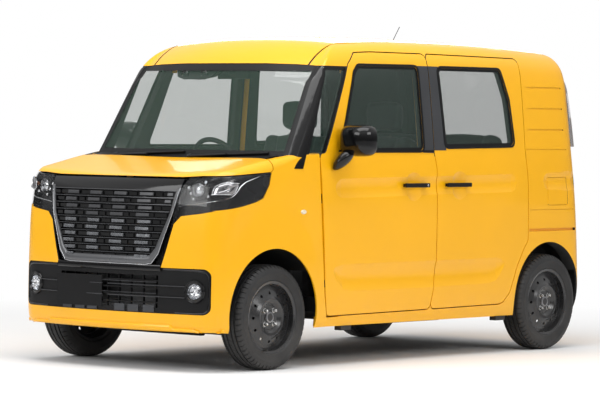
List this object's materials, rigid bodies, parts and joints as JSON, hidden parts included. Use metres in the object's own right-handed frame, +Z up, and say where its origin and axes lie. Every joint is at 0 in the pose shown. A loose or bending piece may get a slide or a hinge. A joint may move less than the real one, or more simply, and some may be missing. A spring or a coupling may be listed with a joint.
{
  "type": "tall kei microvan car",
  "caption": "Tall boxy small passenger car with a short bonnet, upright tailgate, hinged front doors, sliding rear doors and a blocky bar grille.",
  "frame": {"origin": "on the ground, at the middle of the overall length and width", "axes": "+Z up, -Y towards the front of the car, +X towards the car's left side"},
  "size_m": [1.888, 3.3932, 1.8954],
  "materials": {
    "body_paint": "gloss",
    "tinted_glass": "clear green tint",
    "gloss_black": "gloss",
    "dark_plastic": "fine grain",
    "clear_lens": "clear",
    "lamp_body": "dark with bright reflectors",
    "red_lens": "gloss",
    "black_steel": "satin",
    "pad_rubber": "matte",
    "cast_alloy": "cast",
    "tank_plastic": "matte",
    "bare_steel": "dull",
    "seat_cloth": "woven",
    "wheel_paint": "satin",
    "tyre": "matte"
  },
  "bodies": {
    "body": {"sliding_doors": "body_paint", "body_side_left": "body_paint", "body_side_right": "body_paint", "roof_panel": "body_paint", "front_wings": "body_paint", "front_bumper": "body_paint", "rear_bumper": "body_paint", "side_glass": "tinted_glass", "windshield": "tinted_glass", "grille": "gloss_black", "number_plate": "gloss_black", "front_pillars": "gloss_black", "bumper_grille": "dark_plastic", "cowl": "dark_plastic", "wheel_liners": "dark_plastic", "sliding_door_handles": "dark_plastic", "roof_trim": "dark_plastic", "dashboard": "dark_plastic", "interior_mirror": "dark_plastic", "headlamp_lenses": "clear_lens", "small_lamps": "clear_lens", "headlamps": "lamp_body", "tail_lamps": "red_lens", "floor_pan": "black_steel", "front_frame": "black_steel", "front_suspension": "black_steel", "hinge_pillars": "black_steel", "rear_axle": "black_steel", "jack_pads": "pad_rubber", "engine": "cast_alloy", "radiator": "cast_alloy", "fuel_tank": "tank_plastic", "exhaust": "bare_steel", "front_seats": "seat_cloth", "rear_seat": "seat_cloth"},
    "front_door_left": {"front_door_left": "body_paint", "door_glass_left": "tinted_glass", "mirror_left": "dark_plastic", "door_handle_left": "dark_plastic"},
    "front_door_right": {"front_door_right": "body_paint", "door_glass_right": "tinted_glass", "mirror_right": "dark_plastic", "door_handle_right": "dark_plastic"},
    "bonnet": {"bonnet": "body_paint"},
    "tailgate": {"tailgate": "body_paint", "tailgate_glass": "tinted_glass"},
    "steering": {"steering_wheel": "dark_plastic"},
    "knuckle_left": {"knuckle_left": "black_steel"},
    "knuckle_right": {"knuckle_right": "black_steel"},
    "wheel_front_left": {"rim_front_left": "wheel_paint", "tyre_front_left": "tyre"},
    "wheel_front_right": {"rim_front_right": "wheel_paint", "tyre_front_right": "tyre"},
    "wheel_rear_left": {"rim_rear_left": "wheel_paint", "tyre_rear_left": "tyre"},
    "wheel_rear_right": {"rim_rear_right": "wheel_paint", "tyre_rear_right": "tyre"}
  },
  "joints": [
    {"name": "front_door_left_hinge", "type": "hinge", "parent": "body", "child": "front_door_left", "pos_m": [0.7205, -0.728, 0.67], "axis": [0, 0, -1], "range_deg": [0, 65]},
    {"name": "front_door_right_hinge", "type": "hinge", "parent": "body", "child": "front_door_right", "pos_m": [-0.7205, -0.728, 0.67], "axis": [0, 0, 1], "range_deg": [0, 65]},
    {"name": "bonnet_hinge", "type": "hinge", "parent": "body", "child": "bonnet", "pos_m": [0, -1.1, 1.092], "axis": [-1, 0, 0], "range_deg": [0, 45]},
    {"name": "tailgate_hinge", "type": "hinge", "parent": "body", "child": "tailgate", "pos_m": [0, 1.49, 1.732], "axis": [1, 0, 0], "range_deg": [0, 80]},
    {"name": "steering_turn", "type": "hinge", "parent": "body", "child": "steering", "pos_m": [-0.33, -0.43, 1.058], "axis": [0, 0.866, 0.5], "range_deg": [-504, 504]},
    {"name": "knuckle_left_turn", "type": "hinge", "parent": "body", "child": "knuckle_left", "pos_m": [0.6, -1.1715, 0.2785], "axis": [0, 0, 1], "range_deg": [-36, 36]},
    {"name": "wheel_front_left_spin", "type": "hinge", "parent": "knuckle_left", "child": "wheel_front_left", "pos_m": [0.647, -1.1715, 0.2785], "axis": [1, 0, 0], "continuous": true},
    {"name": "wheel_rear_left_spin", "type": "hinge", "parent": "body", "child": "wheel_rear_left", "pos_m": [0.647, 1.2885, 0.2785], "axis": [1, 0, 0], "continuous": true},
    {"name": "knuckle_right_turn", "type": "hinge", "parent": "body", "child": "knuckle_right", "pos_m": [-0.6, -1.1715, 0.2785], "axis": [0, 0, 1], "range_deg": [-36, 36]},
    {"name": "wheel_front_right_spin", "type": "hinge", "parent": "knuckle_right", "child": "wheel_front_right", "pos_m": [-0.647, -1.1715, 0.2785], "axis": [1, 0, 0], "continuous": true},
    {"name": "wheel_rear_right_spin", "type": "hinge", "parent": "body", "child": "wheel_rear_right", "pos_m": [-0.647, 1.2885, 0.2785], "axis": [1, 0, 0], "continuous": true}
  ],
  "couplings": [
    {"joint": "knuckle_left_turn", "follows": "steering_turn", "ratio": 0.071428},
    {"joint": "knuckle_right_turn", "follows": "steering_turn", "ratio": 0.071428}
  ]
}
